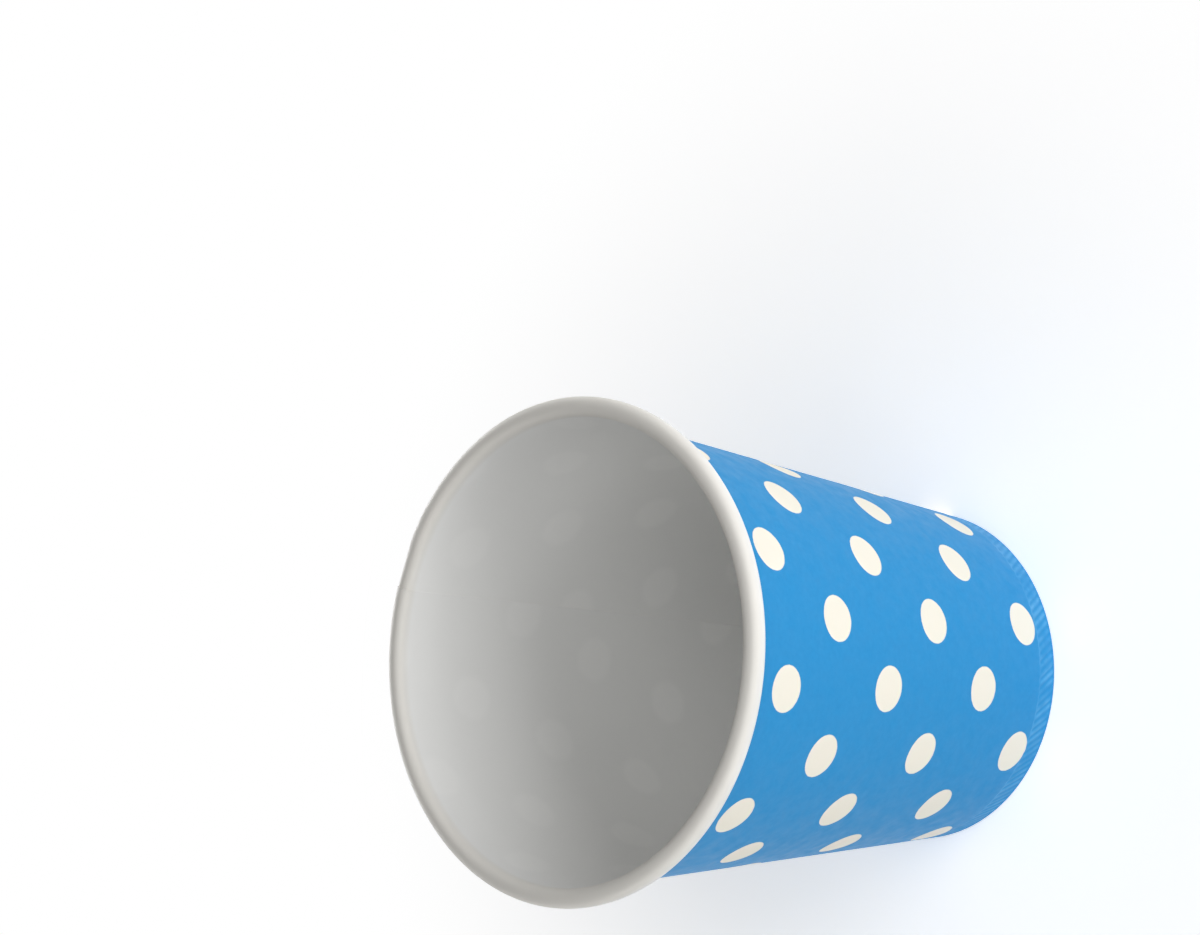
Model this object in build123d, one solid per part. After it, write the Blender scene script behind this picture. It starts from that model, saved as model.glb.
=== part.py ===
"""Paper cup: a lapped conical wall with a rolled rim and a folded base hem, and a recessed bottom.

The cup stands on its base: Z is its axis and points to the mouth, the origin is the middle of the base.
"""
import math
import os

from build123d import *

# Overall sizes, in millimetres
RIM_DIAMETER = 78.0
CUP_HEIGHT = 88.3
BASE_DIAMETER = 54.7

# The side sheet and its rolled rim: one turn drawn in flats, which tightens to a gap beside the wall
SHEET_THICKNESS = 0.3
ROLL_DIAMETER = 3.16
ROLL_GAP = 0.1
ROLL_FLATS = 10
ROLL_TIGHTEN_POWER = 3

# The lap seam: its width at the rim, the step at each sheet edge and where it sits, counted from +X
LAP_WIDTH = 7.0
LAP_STEP = 0.2
SEAM_ANGLE = 81.4

# The bottom disc with its skirt, and the hem that holds it
BOTTOM_THICKNESS = 0.3
BOTTOM_HEIGHT = 6.0
SKIRT_CLEARANCE = 0.5
HEM_CLEARANCE = 0.4
POCKET_PLAY = 0.02

HALF_TURN = 180.0

# The cone: its slope follows from the base, the rim and the roll
roll_r = ROLL_DIAMETER / 2
roll_centre = Vector(RIM_DIAMETER / 2 - roll_r, CUP_HEIGHT - roll_r)
base_point = Vector(BASE_DIAMETER / 2, 0)
reach = roll_centre - base_point
slope = math.acos((roll_r - SHEET_THICKNESS) / reach.length) - math.atan2(reach.Y, reach.X)
up = Vector(math.sin(slope), math.cos(slope))
out = Vector(math.cos(slope), -math.sin(slope))
lap_shift = LAP_STEP / math.cos(slope)


def wall_at(z, depth):
    """Point of the wall's section at height z, at a depth below its outer face."""
    start = base_point - out * depth
    return start + up * ((z - start.Y) / up.Y)


def square_to_wall(point, depth):
    """Point of the wall's section straight across from another point, at a depth below its outer face."""
    start = base_point - out * depth
    return start + up * (point - start).dot(up)


def roll_side(depth):
    """Points along one side of the roll, from the wall round to the sheet's free edge."""
    points = []
    for i in range(ROLL_FLATS + 1):
        turn = i / ROLL_FLATS
        radius = roll_r - depth - (SHEET_THICKNESS + ROLL_GAP) * turn**ROLL_TIGHTEN_POWER
        angle = math.pi - slope - math.tau * turn
        points.append(roll_centre + Vector(radius * math.cos(angle), radius * math.sin(angle)))
    return points


def section(points):
    """Face in the XZ plane from a run of points given as radius and height."""
    return Plane.XZ * make_face(Polyline(*points, close=True))


# Side sheet: wall, roll, and a hem folded in and up that leaves a pocket for the bottom's skirt
pocket = BOTTOM_THICKNESS + LAP_STEP + POCKET_PLAY
hem_depth = SHEET_THICKNESS + pocket
hem_back = hem_depth + SHEET_THICKNESS
hem_top = wall_at(BOTTOM_HEIGHT - BOTTOM_THICKNESS - HEM_CLEARANCE, hem_depth)
sheet_section = section([
    wall_at(0, hem_back),
    wall_at(0, 0),
    *roll_side(SHEET_THICKNESS),
    *reversed(roll_side(0)),
    wall_at(SHEET_THICKNESS, SHEET_THICKNESS),
    wall_at(SHEET_THICKNESS, hem_depth),
    hem_top,
    square_to_wall(hem_top, hem_back),
])

# The sheet winds outwards by one lap step per turn: a half turn about Z, then one about an axis half a step away
second_axis = Axis((lap_shift / 2, 0, 0), (0, 0, 1))
first_half = revolve(sheet_section, axis=Axis.Z, revolution_arc=HALF_TURN)
second_half = revolve(Pos(lap_shift, 0, 0) * sheet_section, axis=second_axis, revolution_arc=-HALF_TURN)

# Outer layer of the lap, from the foot up into the roll, sunk halfway into the layer under it
step = Vector(lap_shift, 0)
lap_core = SHEET_THICKNESS / 2
lap_top = square_to_wall(roll_centre, 0)
lap_section = section([
    wall_at(0, lap_core),
    wall_at(0, 0) + step,
    lap_top + step,
    square_to_wall(lap_top, lap_core),
])
lap_angle = math.degrees(LAP_WIDTH / lap_top.X)
lap = revolve(lap_section, axis=Axis.Z, revolution_arc=lap_angle)

side_wall = Rot(0, 0, SEAM_ANGLE) * (first_half + second_half + lap)

# Bottom: a disc with a skirt turned down, which lies on the inside of the wall
skirt_back = SHEET_THICKNESS + BOTTOM_THICKNESS
skirt_foot = wall_at(SHEET_THICKNESS + SKIRT_CLEARANCE, SHEET_THICKNESS)
disc_low = BOTTOM_HEIGHT - BOTTOM_THICKNESS
bottom_section = section([
    Vector(0, disc_low),
    Vector(0, BOTTOM_HEIGHT),
    wall_at(BOTTOM_HEIGHT, SHEET_THICKNESS),
    skirt_foot,
    square_to_wall(skirt_foot, skirt_back),
    wall_at(disc_low, skirt_back),
])
bottom = Rot(0, 0, SEAM_ANGLE) * revolve(bottom_section, axis=Axis.Z)

os.makedirs("parts", exist_ok=True)
export_step(side_wall, "parts/side_wall.step")
export_step(bottom, "parts/bottom.step")
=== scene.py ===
"""Dresses the paper cup: a printed, lapped and rolled sheet, a pressed bottom, lamps and a camera."""
import math

import bmesh
import bpy
import numpy as np
from mathutils import Matrix, Vector


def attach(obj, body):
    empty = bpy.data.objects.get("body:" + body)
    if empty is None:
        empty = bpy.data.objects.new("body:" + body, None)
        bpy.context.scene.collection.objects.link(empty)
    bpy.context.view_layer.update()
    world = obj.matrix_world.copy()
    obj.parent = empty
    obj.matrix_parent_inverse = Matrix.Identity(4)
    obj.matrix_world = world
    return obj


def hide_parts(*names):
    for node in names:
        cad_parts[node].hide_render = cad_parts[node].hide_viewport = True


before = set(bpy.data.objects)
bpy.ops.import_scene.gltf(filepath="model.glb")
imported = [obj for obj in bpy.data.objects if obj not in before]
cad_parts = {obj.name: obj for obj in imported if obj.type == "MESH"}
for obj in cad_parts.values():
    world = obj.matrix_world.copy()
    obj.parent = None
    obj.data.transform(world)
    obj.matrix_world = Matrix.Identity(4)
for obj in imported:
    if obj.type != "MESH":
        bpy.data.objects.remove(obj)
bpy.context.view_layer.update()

MM = 0.001

# The cup's sizes in millimetres, as in the part's source
BASE_RADIUS = 27.35
SHEET = 0.3
ROLL_RADIUS = 1.58
ROLL_CENTRE = np.array([37.42, 86.72])
LAP_STEP = 0.2
LAP_WIDTH = 7.0
SEAM_ANGLE = 81.4
BOTTOM_TOP = 6.0
BOTTOM_SHEET = 0.3
HEM_DEPTH = 0.82
HEM_TOP = 5.3

# The fold at the foot
FOLD_RADIUS = 0.25
FOLD_STEPS = 4

# The roll: squarish in section, eased in from the wall, and tighter towards its end
ROLL_SQUARE = 2.5
ROLL_EASE = 0.055
ROLL_EASE_ANGLE = 40.0
ROLL_TIGHTEN = 0.42
ROLL_TIGHTEN_POWER = 6
ROLL_TURNS = (*range(0, 240, 12), *range(240, 401, 20))

# Heights of the rows of points on the hem, the ridged band and the wall above it
HEM_ROWS = (HEM_TOP, 3.0, 1.0)
RIDGE_ROWS = (0.62, 0.95, 1.6, 2.4, 3.2, 3.9, 4.4, 4.65, 4.95)
WALL_ROWS = (7.0, 12.0, 22.0, 34.0, 46.0, 58.0, 69.0, 78.0, 83.5)

# Pressed ridges round the foot: number, profile, depth and the least share of it that a ridge gets
RIDGES = 124
RIDGE_PROFILE = (0.0, 0.25, 0.75, 1.0, 0.75, 0.25)
RIDGE_DEPTH = 0.12
RIDGE_LEAST = 0.45
RIDGE_SEED = 11

# The ridged band: its heights and soft edges, the lean in degrees per millimetre, and the degrees beside
# the seam over which the lean comes in
RIDGE_FOOT = 0.4
RIDGE_TOP = 4.9
RIDGE_EDGE = 0.5
RIDGE_LEAN = 1.2
RIDGE_FADE = 16.0

# A worn line along the upper edge of the ridges
RIDGE_LINE = 4.65
RIDGE_LINE_HALF = 0.1
RIDGE_LINE_WEAR = 0.55

# The lap: the degrees over which the sheet's end slips under the roll, and how far its foot lifts
LAP_EASE = 9.0
LAP_ROLL_ANGLE = 60.0
LAP_LIFT = 0.01

# The cup is a little out of round
OVAL = 0.08
OVAL_ANGLE = 125.0

# The bottom: play against the wall, rounded edge, dish, and rows of points as shares of its radius and as
# heights
BOTTOM_PLAY = 0.01
BOTTOM_CORNER = 0.45
BOTTOM_CORNER_STEPS = 6
BOTTOM_DISH = 0.3
DISH_EDGE = 0.96
DISH_WIDTH = 0.12
BOTTOM_SHARES = (0.0, 0.12, 0.3, 0.5, 0.68, 0.8, 0.88, 0.93, DISH_EDGE)
SKIRT_ROWS = (4.0, 2.4, 0.85)
BOTTOM_COLUMNS = 192

# The wall's layout for baking: one half for each side, and narrow bands for the sheet's edges
BAKE_WIDTH = 0.99
BAKE_HEIGHT = 0.494
BAKE_SIDE = 0.5
BAKE_ROW_EDGES = (0.4955, 0.9955)
BAKE_COLUMN_EDGES = (0.9925, 0.9965)
BAKE_EDGE = 0.002

# The unrolled sheet: the side at its middle line, and a height that ties its length to the wall's foot
FRONT_ANGLE = 270.0
TIE_HEIGHT = 2.0

SHARP_ANGLE = math.radians(50.0)
LEAST_LENGTH = 1e-6
MERGE_DISTANCE = 1e-7

reach = ROLL_CENTRE - np.array([BASE_RADIUS, 0.0])
slope = math.acos((ROLL_RADIUS - SHEET) / np.hypot(*reach)) - math.atan2(reach[1], reach[0])
up = np.array([math.sin(slope), math.cos(slope)])
out = np.array([math.cos(slope), -math.sin(slope)])
wall_heading = 90.0 - math.degrees(slope)
apex_distance = BASE_RADIUS / math.sin(slope)


def smooth(x):
    """Smooth step from 0 to 1."""
    x = np.clip(x, 0.0, 1.0)
    return x * x * (3.0 - 2.0 * x)


def wall_at(z, depth):
    """Point of the wall's section at height z, at a depth below its outer face."""
    start = np.array([BASE_RADIUS, 0.0]) - out * depth
    return start + up * ((z - start[1]) / up[1])


def right_of(heading):
    """Unit vector to the right of a heading, which is the printed side of the sheet."""
    h = math.radians(heading)
    return np.array([math.sin(h), -math.cos(h)])


def roll_radius(turned):
    """Radius of the roll's middle line, at an angle from where it leaves the wall."""
    across = abs(math.cos(math.radians(turned)))
    along = abs(math.sin(math.radians(turned)))
    squared = (across**ROLL_SQUARE + along**ROLL_SQUARE) ** (-1.0 / ROLL_SQUARE)
    eased = ROLL_EASE * (1.0 - math.exp(-(turned / ROLL_EASE_ANGLE) ** 2))
    tightened = ROLL_TIGHTEN * (turned / 360.0) ** ROLL_TIGHTEN_POWER
    return (ROLL_RADIUS - eased) * squared - SHEET / 2 - tightened


def sheet_stations():
    """Middle line of the side sheet, from the hem's free edge round the fold and up the wall into the roll.

    Each station is a point as radius and height, a heading in degrees, and how far round the roll it is.
    """
    stations = []
    hem_middle = HEM_DEPTH + SHEET / 2
    for z in HEM_ROWS:
        stations.append((wall_at(z, hem_middle), wall_heading - 180.0, 0.0))
    turn_z = SHEET / 2 + FOLD_RADIUS
    inner_turn = wall_at(turn_z, hem_middle - FOLD_RADIUS)
    outer_turn = wall_at(turn_z, SHEET / 2 + FOLD_RADIUS)
    for heading in np.linspace(wall_heading - 180.0, 0.0, FOLD_STEPS):
        stations.append((inner_turn + FOLD_RADIUS * right_of(heading), heading, 0.0))
    for heading in np.linspace(0.0, wall_heading, FOLD_STEPS):
        stations.append((outer_turn + FOLD_RADIUS * right_of(heading), heading, 0.0))
    for z in RIDGE_ROWS + WALL_ROWS:
        stations.append((wall_at(z, SHEET / 2), wall_heading, 0.0))
    for turned in ROLL_TURNS:
        heading = wall_heading - turned
        stations.append((ROLL_CENTRE - roll_radius(turned) * right_of(heading), heading, turned))
    return stations


def add_piece(name, mesh):
    """Object for a mesh, with smooth shading between its sharp edges."""
    mesh.polygons.foreach_set("use_smooth", np.ones(len(mesh.polygons), bool))
    mesh.set_sharp_from_angle(angle=SHARP_ANGLE)
    piece = bpy.data.objects.new(name, mesh)
    bpy.context.scene.collection.objects.link(piece)
    return piece


def strip_mesh(name, points, bake, blank, ink, crest):
    """Closed mesh of a swept sheet.

    points, bake, blank and crest run over columns, stations and the two sides; ink tells which side is
    printed.
    """
    columns, rows = points.shape[:2]
    index = np.arange(columns * rows * 2).reshape(columns, rows, 2)
    quads, marks, bakes = [], [], []

    def add(corners, printed, uv):
        quads.append(np.stack(corners, -1).reshape(-1, 4))
        marks.append(np.full(quads[-1].shape[0], printed))
        bakes.append(np.stack(uv, -2).reshape(-1, 4, 2))

    # The two sides of the sheet
    for side, order in ((0, (0, 1, 2, 3)), (1, (0, 3, 2, 1))):
        ring, uv = (
            [grid[:-1, :-1, side], grid[1:, :-1, side], grid[1:, 1:, side], grid[:-1, 1:, side]]
            for grid in (index, bake)
        )
        add([ring[o] for o in order], ink[side], [uv[o] for o in order])

    # Its edges at the hem and in the roll
    before, after = slice(None, -1), slice(1, None)
    hem_edge = (0, after, before, BAKE_ROW_EDGES[0])
    roll_edge = (-1, before, after, BAKE_ROW_EDGES[1])
    for row, first, last, low in (hem_edge, roll_edge):
        u0, u1 = bake[first, 0, 0, 0], bake[last, 0, 0, 0]
        v0, v1 = np.full_like(u0, low), np.full_like(u0, low + BAKE_EDGE)
        ring = [index[first, row, 0], index[last, row, 0], index[last, row, 1], index[first, row, 1]]
        uv = [np.stack(p, -1) for p in ((u0, v0), (u1, v0), (u1, v1), (u0, v1))]
        add(ring, 0.0, uv)

    # Its ends at the lap
    for column, flip, low in ((0, False, BAKE_COLUMN_EDGES[0]), (-1, True, BAKE_COLUMN_EDGES[1])):
        v0, v1 = bake[0, :-1, 0, 1], bake[0, 1:, 0, 1]
        u0, u1 = np.full_like(v0, low), np.full_like(v0, low + BAKE_EDGE)
        ring = [index[column, :-1, 0], index[column, 1:, 0], index[column, 1:, 1], index[column, :-1, 1]]
        uv = [np.stack(p, -1) for p in ((u0, v0), (u0, v1), (u1, v1), (u1, v0))]
        if flip:
            ring, uv = ring[::-1], uv[::-1]
        add(ring, 0.0, uv)

    faces = np.concatenate(quads)
    mesh = bpy.data.meshes.new(name)
    mesh.from_pydata((points.reshape(-1, 3) * MM).tolist(), [], faces.tolist())
    layer = mesh.uv_layers.new(name="Blank")
    layer.data.foreach_set("uv", blank.reshape(-1, 2)[faces].astype(np.float32).ravel())
    layer = mesh.uv_layers.new(name="OFBake")
    layer.data.foreach_set("uv", np.concatenate(bakes).astype(np.float32).ravel())
    printed = mesh.attributes.new("ink", "FLOAT", "FACE")
    printed.data.foreach_set("value", np.concatenate(marks).astype(np.float32))
    worn = mesh.attributes.new("crest", "FLOAT", "POINT")
    worn.data.foreach_set("value", crest.astype(np.float32).ravel())
    mesh.validate()
    return add_piece(name, mesh)


def build_wall():
    """The side sheet as one strip, wound a full turn and lapped over its own start."""
    stations = sheet_stations()
    middle = np.array([s[0] for s in stations])
    normal = np.array([right_of(s[1]) for s in stations])
    turned = np.array([s[2] for s in stations])
    run = np.concatenate([[0.0], np.cumsum(np.hypot(*np.diff(middle, axis=0).T))])
    on_wall = np.arange(len(stations)) >= len(HEM_ROWS) + 2 * FOLD_STEPS
    low_rows = np.flatnonzero(on_wall)[: len(RIDGE_ROWS)]
    foot = np.interp(TIE_HEIGHT, middle[low_rows, 1], run[low_rows]) - TIE_HEIGHT / up[1]

    # Columns round the cup, with a whole number of them to a ridge
    step = 360.0 / RIDGES / len(RIDGE_PROFILE)
    lap_angle = math.degrees(LAP_WIDTH / (ROLL_CENTRE[0] - ROLL_RADIUS))
    count = int(round((360.0 + lap_angle) / step)) + 1
    turn = np.arange(count) * step
    last = turn[-1]

    # The sheet winds outwards by one lap step in its second half turn, and its end slips under the roll
    lap_shift = LAP_STEP / math.cos(slope)
    winding = lap_shift / 2 * (1.0 + np.cos(np.radians(np.minimum(turn, 360.0))))
    wound = np.where(turn < 180.0, 0.0, winding)
    slipped = smooth((turn - 360.0 + LAP_EASE) / LAP_EASE)
    in_roll = smooth(turned / LAP_ROLL_ANGLE)
    shrink = SHEET * slipped[:, None] * in_roll[None, :]

    # The ridges, pressed unevenly and leaning along the sheet
    profile = np.array([RIDGE_PROFILE[i % len(RIDGE_PROFILE)] for i in range(count)])
    ridge_count = count // len(RIDGE_PROFILE) + 1
    pressed = np.random.default_rng(RIDGE_SEED).uniform(RIDGE_LEAST, 1.0, ridge_count)
    pressed = np.repeat(pressed, len(RIDGE_PROFILE))[:count]
    z_band = np.clip(middle[:, 1], RIDGE_FOOT, RIDGE_TOP) - RIDGE_FOOT
    lean = np.where(on_wall, RIDGE_LEAN * z_band, 0.0)
    ends = smooth(np.minimum(turn, last - turn) / RIDGE_FADE)
    angle = turn[:, None] - lean[None, :] * ends[:, None]
    low_edge = smooth((middle[:, 1] - RIDGE_FOOT) / RIDGE_EDGE)
    high_edge = smooth((RIDGE_TOP - middle[:, 1]) / RIDGE_EDGE)
    band = low_edge * high_edge * on_wall * (turned == 0.0)
    dents = RIDGE_DEPTH * (profile * pressed)[:, None] * band[None, :]

    world = np.radians(SEAM_ANGLE + angle)
    oval = OVAL * (1.0 - np.cos(2.0 * (world - math.radians(OVAL_ANGLE)))) / 2
    reach_out = (apex_distance + run - foot)[None, :]
    spread = np.radians(angle + SEAM_ANGLE - FRONT_ANGLE) * math.sin(slope)

    points = np.zeros((count, len(stations), 2, 3))
    bake = np.zeros((count, len(stations), 2, 2))
    blank = np.zeros((count, len(stations), 2, 2))
    for side, sign in ((0, 1.0), (1, -1.0)):
        half = sign * SHEET / 2
        r = middle[:, 0] + normal[:, 0] * half
        z = middle[:, 1] + normal[:, 1] * half
        away = np.stack([r, z], 1) - ROLL_CENTRE
        away /= np.maximum(np.hypot(away[:, 0], away[:, 1]), LEAST_LENGTH)[:, None]
        radius = r[None, :] + wound[:, None] - shrink * away[None, :, 0]
        height = np.repeat(z[None, :], count, 0) - shrink * away[None, :, 1]
        if side == 0:
            radius = radius - dents
        radius = radius - oval * np.clip(height / ROLL_CENTRE[1], 0.0, 1.0)
        height = height + LAP_LIFT * slipped[:, None]
        points[:, :, side, 0] = radius * np.cos(world)
        points[:, :, side, 1] = radius * np.sin(world)
        points[:, :, side, 2] = height
        bake[:, :, side, 0] = BAKE_WIDTH * turn[:, None] / last
        bake[:, :, side, 1] = BAKE_SIDE * side + BAKE_HEIGHT * run[None, :] / run[-1]
        blank[:, :, side, 0] = reach_out * np.sin(spread)
        blank[:, :, side, 1] = reach_out * np.cos(spread) - apex_distance

    # Where the ink is worn: between the dents, and along the line above them
    crest = np.zeros((count, len(stations), 2))
    line = RIDGE_LINE_WEAR * (np.abs(middle[:, 1] - RIDGE_LINE) < RIDGE_LINE_HALF) * on_wall
    crest[:, :, 0] = np.maximum(((1.0 - profile) * pressed)[:, None] * band[None, :], line[None, :])
    return strip_mesh("cup_wall", points, bake, blank, (1.0, 0.0), crest)


def build_bottom():
    """The bottom: a disc, slightly dished, with a rounded edge and a skirt turned down."""
    section = []
    top_edge = wall_at(BOTTOM_TOP, SHEET)[0] - BOTTOM_PLAY
    for share in BOTTOM_SHARES:
        dish = BOTTOM_DISH * smooth((DISH_EDGE - share) / DISH_WIDTH)
        section.append((share * top_edge, BOTTOM_TOP - BOTTOM_SHEET / 2 - dish, 0.0))
    skirt_depth = SHEET + BOTTOM_PLAY + BOTTOM_SHEET / 2
    centre = wall_at(BOTTOM_TOP - BOTTOM_CORNER - BOTTOM_SHEET / 2, skirt_depth + BOTTOM_CORNER)
    for heading in np.linspace(0.0, wall_heading - 180.0, BOTTOM_CORNER_STEPS):
        p = centre - BOTTOM_CORNER * right_of(heading)
        section.append((p[0], p[1], heading))
    for z in SKIRT_ROWS:
        p = wall_at(z, skirt_depth)
        section.append((p[0], p[1], wall_heading - 180.0))

    around = np.linspace(0.0, math.tau, BOTTOM_COLUMNS, endpoint=False)
    verts = []
    for sign in (-1.0, 1.0):
        for r, z, heading in section:
            n = right_of(heading) * sign * BOTTOM_SHEET / 2
            if r == 0.0:
                n = np.array([0.0, n[1]])
            for a in around:
                verts.append(((r + n[0]) * math.cos(a), (r + n[0]) * math.sin(a), z + n[1]))

    index = np.arange(len(verts)).reshape(2, len(section), BOTTOM_COLUMNS)
    beside = np.roll(index, -1, axis=2)
    top_side = [index[0, :-1], index[0, 1:], beside[0, 1:], beside[0, :-1]]
    underside = [beside[1, :-1], beside[1, 1:], index[1, 1:], index[1, :-1]]
    skirt_end = [index[0, -1], index[1, -1], beside[1, -1], beside[0, -1]]
    faces = np.concatenate([np.stack(ring, -1).reshape(-1, 4) for ring in (top_side, underside, skirt_end)])

    mesh = bpy.data.meshes.new("cup_bottom")
    mesh.from_pydata((np.array(verts) * MM).tolist(), [], faces.tolist())
    bm = bmesh.new()
    bm.from_mesh(mesh)
    bmesh.ops.remove_doubles(bm, verts=bm.verts, dist=MERGE_DISTANCE)
    bmesh.ops.recalc_face_normals(bm, faces=bm.faces)
    bm.to_mesh(mesh)
    bm.free()
    return add_piece("cup_bottom", mesh)


class Nodes:
    """Short calls for the nodes of one material or world."""

    def __init__(self, owner):
        owner.use_nodes = True
        self.tree = owner.node_tree
        self.tree.nodes.clear()

    def new(self, kind, inputs=None, **settings):
        node = self.tree.nodes.new(kind)
        for key, value in settings.items():
            setattr(node, key, value)
        for key, value in (inputs or {}).items():
            self.put(node.inputs[key], value)
        return node

    def put(self, socket, value):
        if isinstance(value, bpy.types.NodeSocket):
            self.tree.links.new(value, socket)
        else:
            socket.default_value = value

    def math(self, operation, *values):
        node = self.new("ShaderNodeMath", operation=operation)
        for socket, value in zip(node.inputs, values):
            self.put(socket, value)
        return node.outputs[0]

    def vector(self, operation, *values):
        node = self.new("ShaderNodeVectorMath", operation=operation)
        for socket, value in zip(node.inputs, values):
            self.put(socket, value)
        return node.outputs["Value"] if operation == "LENGTH" else node.outputs["Vector"]

    def noise(self, vector, scale, detail, roughness=0.5):
        inputs = {"Vector": vector, "Scale": scale, "Detail": detail, "Roughness": roughness}
        return self.new("ShaderNodeTexNoise", inputs).outputs["Fac"]

    def span(self, value, low, high, to_low, to_high, kind="LINEAR"):
        inputs = {"Value": value, "From Min": low, "From Max": high, "To Min": to_low, "To Max": to_high}
        return self.new("ShaderNodeMapRange", inputs, interpolation_type=kind).outputs["Result"]

    def mix(self, share, a, b):
        node = self.new("ShaderNodeMix", data_type="RGBA")
        self.put(node.inputs["Factor"], share)
        self.put(node.inputs[6], a)
        self.put(node.inputs[7], b)
        return node.outputs[2]


# Colours, linear
INK = (0.023, 0.298, 0.650, 1.0)
INK_DEEP = (0.018, 0.275, 0.620, 1.0)
INK_WORN = (0.12, 0.44, 0.77, 1.0)
DOT = (0.945, 0.90, 0.785, 1.0)
# The roll is the same bare board as the inside, painted darker and warmer as shade
ROLL_SHADED_BOARD = (0.830, 0.810, 0.762, 1.0)
INSIDE = (0.925, 0.925, 0.910, 1.0)
# Inside behind the ink, darker than behind the dots: partly print seen through the board, partly painted
# light let through the wall at the dots
SHOW_THROUGH = (0.884, 0.886, 0.872, 1.0)
BOTTOM_SHADE = (0.860, 0.858, 0.842, 1.0)

# Heights in metres between which the inside turns to the roll's painted shade
ROLL_SHADE_HEIGHTS = (0.0862, 0.0876)

# The dots, in millimetres on the unrolled sheet; two staggered dots to a cell
DOT_ORIGIN = (0.657, 21.846, 0.0)
DOT_CELL = (21.43, 27.327, 1.0)
DOT_TURN = math.radians(1.525)
DOT_RADIUS = 3.6
DOT_EDGE = 0.07
DOT_RAGGED = 0.06

# The print that shows through inside, partly print seen through the board and partly painted light let
# through the wall at the dots: its blurred edge in millimetres, the heights in metres between which it
# fades, and the most that it fades
SHOW_EDGE = 0.8
SHOW_HEIGHTS = (0.025, 0.075)
SHOW_FADE = 0.45

# Noises as scale, detail and roughness, and the range of a noise that is used
FIBRE_NOISE = (2600.0, 3.0, 0.6)
CLOUD_NOISE = (420.0, 2.0, 0.5)
RAGGED_NOISE = (1500.0, 2.0, 0.5)
MOTTLE_NOISE = (1100.0, 4.0, 0.65)
WEAR_NOISE = (260.0, 3.0, 0.6)
SHADE_NOISE = (300.0, 3.0, 0.5)
NOISE_RANGE = (0.3, 0.7)
WEAR_RANGE = (0.38, 0.62)
WEAR_LEAST = 0.25

# The board's surface
FIBRE_SHARE = 0.6
CLOUD_SHARE = 0.8
BUMP_STRENGTH = 0.35
BUMP_DEPTH = 0.00003
ROUGHNESS = (0.42, 0.56)
SPECULAR = 0.2


def paper_surface(n, where, colour):
    """Board of a colour, with fine fibres and an uneven sheen."""
    fibre = n.noise(where, *FIBRE_NOISE)
    cloud = n.noise(where, *CLOUD_NOISE)
    height = n.math("ADD", n.math("MULTIPLY", fibre, FIBRE_SHARE), n.math("MULTIPLY", cloud, CLOUD_SHARE))
    relief = n.new("ShaderNodeBump", {"Height": height, "Strength": BUMP_STRENGTH, "Distance": BUMP_DEPTH})
    shader = n.new("ShaderNodeBsdfPrincipled")
    n.put(shader.inputs["Base Color"], colour)
    n.put(shader.inputs["Roughness"], n.span(cloud, *NOISE_RANGE, *ROUGHNESS))
    n.put(shader.inputs["Normal"], relief.outputs["Normal"])
    shader.inputs["Specular IOR Level"].default_value = SPECULAR
    n.new("ShaderNodeOutputMaterial", {"Surface": shader.outputs["BSDF"]})


def distance_to_dot(n):
    """Distance to the middle of the nearest dot, in millimetres on the unrolled sheet."""
    flat = n.new("ShaderNodeUVMap", uv_map="Blank").outputs["UV"]
    place = {"Vector": flat, "Location": DOT_ORIGIN, "Rotation": (0.0, 0.0, DOT_TURN), "Scale": DOT_CELL}
    cell = n.new("ShaderNodeMapping", place, vector_type="TEXTURE").outputs["Vector"]
    half = (0.5, 0.5, 0.0)
    size = (DOT_CELL[0], DOT_CELL[1], 0.0)
    first = n.vector("SUBTRACT", n.vector("FRACTION", n.vector("ADD", cell, half)), half)
    second = n.vector("SUBTRACT", n.vector("FRACTION", cell), half)
    return n.math(
        "MINIMUM",
        n.vector("LENGTH", n.vector("MULTIPLY", first, size)),
        n.vector("LENGTH", n.vector("MULTIPLY", second, size)),
    )


def printed_board():
    """Blue ink with off-white dots on one side of the sheet, bare white board on the other, with painted
    shade on the roll and painted light behind the dots inside.
    """
    material = bpy.data.materials.new("printed_board")
    n = Nodes(material)
    where = n.new("ShaderNodeTexCoord").outputs["Object"]
    away = distance_to_dot(n)
    ragged = n.span(n.noise(where, *RAGGED_NOISE), 0.0, 1.0, -DOT_RAGGED, DOT_RAGGED)
    edge = n.math("ADD", away, ragged)
    dot = n.span(edge, DOT_RADIUS + DOT_EDGE, DOT_RADIUS - DOT_EDGE, 0.0, 1.0, "SMOOTHSTEP")

    mottle = n.span(n.noise(where, *MOTTLE_NOISE), *NOISE_RANGE, 0.0, 1.0)
    ink = n.mix(mottle, INK, INK_DEEP)
    crest = n.new("ShaderNodeAttribute", attribute_name="crest").outputs["Fac"]
    patchy = n.span(n.noise(where, *WEAR_NOISE), *WEAR_RANGE, WEAR_LEAST, 1.0)
    ink = n.mix(n.math("MULTIPLY", crest, patchy), ink, INK_WORN)
    print_side = n.mix(dot, ink, DOT)

    height = n.new("ShaderNodeSeparateXYZ", {"Vector": where}).outputs["Z"]
    # Lighter spots inside behind the dots, partly print seen through the board and partly painted light let
    # through the wall, fading towards the rim
    blurred = n.span(away, DOT_RADIUS + SHOW_EDGE, DOT_RADIUS - SHOW_EDGE, 0.0, 1.0, "SMOOTHSTEP")
    fade = n.span(height, *SHOW_HEIGHTS, 0.0, SHOW_FADE)
    inner = n.mix(fade, n.mix(blurred, SHOW_THROUGH, INSIDE), INSIDE)
    # Above the wall the bare board takes the roll's painted shade, darker and warmer
    bare = n.mix(n.span(height, *ROLL_SHADE_HEIGHTS, 0.0, 1.0), inner, ROLL_SHADED_BOARD)

    printed = n.new("ShaderNodeAttribute", attribute_name="ink").outputs["Fac"]
    paper_surface(n, where, n.mix(printed, bare, print_side))
    return material


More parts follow.
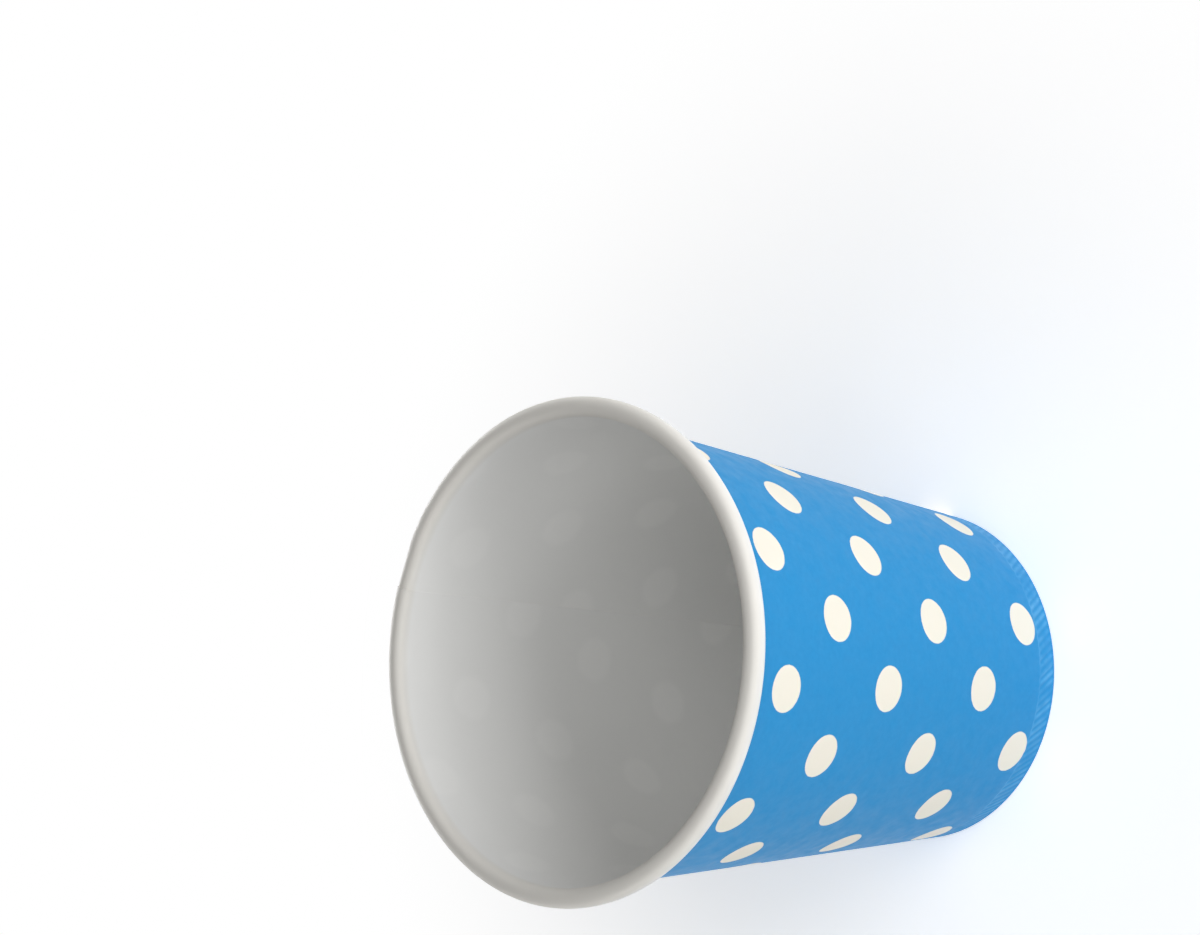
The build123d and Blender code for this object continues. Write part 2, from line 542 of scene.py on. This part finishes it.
def white_board():
    """Bare white board."""
    material = bpy.data.materials.new("white_board")
    n = Nodes(material)
    where = n.new("ShaderNodeTexCoord").outputs["Object"]
    cloud = n.span(n.noise(where, *SHADE_NOISE), *NOISE_RANGE, 0.0, 1.0)
    paper_surface(n, where, n.mix(cloud, INSIDE, BOTTOM_SHADE))
    return material


# The stage: the floor's size and tone, the glow that whitens it to the camera, the distances between which
# it fades to white, and the world's light
FLOOR_REACH = 3.0
FLOOR_TONE = 0.90
FLOOR_GLOW = 0.47
FLOOR_NEAR = 0.04
FLOOR_FAR = 0.14
WORLD_LIGHT = 0.03


def seen_directly(n):
    """1 for what the camera sees, also in a reflection or through glass, and 0 for other light."""
    path = n.new("ShaderNodeLightPath")
    seen = n.math("MAXIMUM", path.outputs["Is Camera Ray"], path.outputs["Is Glossy Ray"])
    return n.math("MAXIMUM", seen, path.outputs["Is Transmission Ray"])


def set_stage():
    """A pale floor, which is white to the camera where no shadow falls, and a white world."""
    mesh = bpy.data.meshes.new("floor")
    corners = [(FLOOR_REACH * x, FLOOR_REACH * y, 0.0) for x, y in ((-1, -1), (1, -1), (1, 1), (-1, 1))]
    mesh.from_pydata(corners, [], [(0, 1, 2, 3)])
    floor = bpy.data.objects.new("floor", mesh)
    bpy.context.scene.collection.objects.link(floor)
    material = bpy.data.materials.new("floor")
    n = Nodes(material)
    seen = seen_directly(n)
    where = n.new("ShaderNodeTexCoord").outputs["Object"]
    far = n.span(n.vector("LENGTH", where), FLOOR_NEAR, FLOOR_FAR, 0.0, 1.0, "SMOOTHSTEP")
    diffuse = n.new("ShaderNodeBsdfDiffuse", {"Color": (FLOOR_TONE, FLOOR_TONE, FLOOR_TONE, 1.0)})
    glow = n.new("ShaderNodeEmission", {"Strength": n.math("MULTIPLY", seen, FLOOR_GLOW)})
    near = n.new("ShaderNodeAddShader", {0: diffuse.outputs["BSDF"], 1: glow.outputs["Emission"]})
    white = n.new("ShaderNodeEmission")
    share = n.math("MULTIPLY", far, seen)
    both = n.new("ShaderNodeMixShader", {0: share, 1: near.outputs["Shader"], 2: white.outputs["Emission"]})
    n.new("ShaderNodeOutputMaterial", {"Surface": both.outputs["Shader"]})
    mesh.materials.append(material)

    world = bpy.data.worlds.new("studio")
    bpy.context.scene.world = world
    n = Nodes(world)
    strength = n.span(seen_directly(n), 0.0, 1.0, WORLD_LIGHT, 1.0)
    sky = n.new("ShaderNodeBackground", {"Color": (1.0, 1.0, 1.0, 1.0), "Strength": strength})
    n.new("ShaderNodeOutputWorld", {"Surface": sky.outputs["Background"]})


# Soft lamps round the cup: name, direction, width and height in metres and power in watts
LAMP_DISTANCE = 1.2
LAMP_AIM = Vector((0.0, 0.0, 0.045))
LAMPS = (
    ("key", (-0.08, -0.8, 0.7), 1.1, 0.8, 2.4),
    ("front_right", (0.6, -0.8, 0.36), 0.6, 0.4, 3.5),
    ("front_left", (-0.6, -0.8, 0.36), 0.6, 0.4, 0.95),
    ("lower_right", (0.6, -0.8, 0.15), 0.6, 0.16, 1.5),
    ("lower_left", (-0.6, -0.8, 0.15), 0.6, 0.16, 0.75),
    ("high_left", (-0.8, -0.2, 0.75), 0.8, 0.8, 1.65),
    ("top", (0.25, -0.45, 1.0), 0.8, 0.8, 3.0),
    ("low_front", (0.1, -1.0, 0.02), 0.9, 0.08, 0.65),
    ("low_right", (1.0, -0.3, 0.02), 0.9, 0.08, 5.3),
    ("low_left", (-1.0, -0.35, 0.02), 0.9, 0.08, 3.1),
    ("low_back", (0.0, 1.0, 0.04), 0.9, 0.07, 9.0),
)


def add_lamp(name, toward, width, height, power):
    """A soft lamp in a direction from the cup, turned to the cup."""
    lamp = bpy.data.lights.new(name, "AREA")
    lamp.shape = "RECTANGLE"
    lamp.size = width
    lamp.size_y = height
    lamp.energy = power
    place = Vector(toward).normalized() * LAMP_DISTANCE
    holder = bpy.data.objects.new(name, lamp)
    holder.location = place
    holder.rotation_mode = "QUATERNION"
    holder.rotation_quaternion = (LAMP_AIM - place).to_track_quat("-Z", "Y")
    holder.visible_camera = False
    bpy.context.scene.collection.objects.link(holder)


# The camera: its lens, and where it stands in millimetres and radians, from the point that it aims at
FOCAL_PX = 3685.4
IMAGE_WIDTH_PX = 1200.0
SENSOR_MM = 36.0
CLIP_START_M = 0.01
CAMERA_AIM = Vector((0.0, 0.0, 44.15))
CAMERA_DISTANCE = 591.7
CAMERA_TILT = math.radians(46.23)
CAMERA_ROLL = math.radians(-83.13)
CAMERA_RIGHT = -24.47
CAMERA_UP = 31.55


def set_camera():
    """The photograph's view: the standing cup from above in front, with the camera turned on its side."""
    forward = Vector((0.0, math.cos(CAMERA_TILT), -math.sin(CAMERA_TILT)))
    level = Vector((1.0, 0.0, 0.0))
    steep = Vector((0.0, math.sin(CAMERA_TILT), math.cos(CAMERA_TILT)))
    right = math.cos(CAMERA_ROLL) * level + math.sin(CAMERA_ROLL) * steep
    above = -math.sin(CAMERA_ROLL) * level + math.cos(CAMERA_ROLL) * steep
    eye = (CAMERA_AIM - CAMERA_DISTANCE * forward + CAMERA_RIGHT * right + CAMERA_UP * above) * MM
    data = bpy.data.cameras.new("camera")
    data.sensor_width = SENSOR_MM
    data.lens = FOCAL_PX * SENSOR_MM / IMAGE_WIDTH_PX
    data.clip_start = CLIP_START_M
    camera = bpy.data.objects.new("camera", data)
    camera.matrix_world = Matrix.Translation(eye) @ Matrix((right, above, -forward)).transposed().to_4x4()
    bpy.context.scene.collection.objects.link(camera)
    bpy.context.scene.camera = camera


wall = build_wall()
wall.data.materials.append(printed_board())
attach(wall, "root")
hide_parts("side_wall")

bottom = build_bottom()
bottom.data.materials.append(white_board())
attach(bottom, "root")
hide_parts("bottom")

set_stage()
for lamp in LAMPS:
    add_lamp(*lamp)
set_camera()

bpy.context.scene.view_settings.view_transform = "Standard"
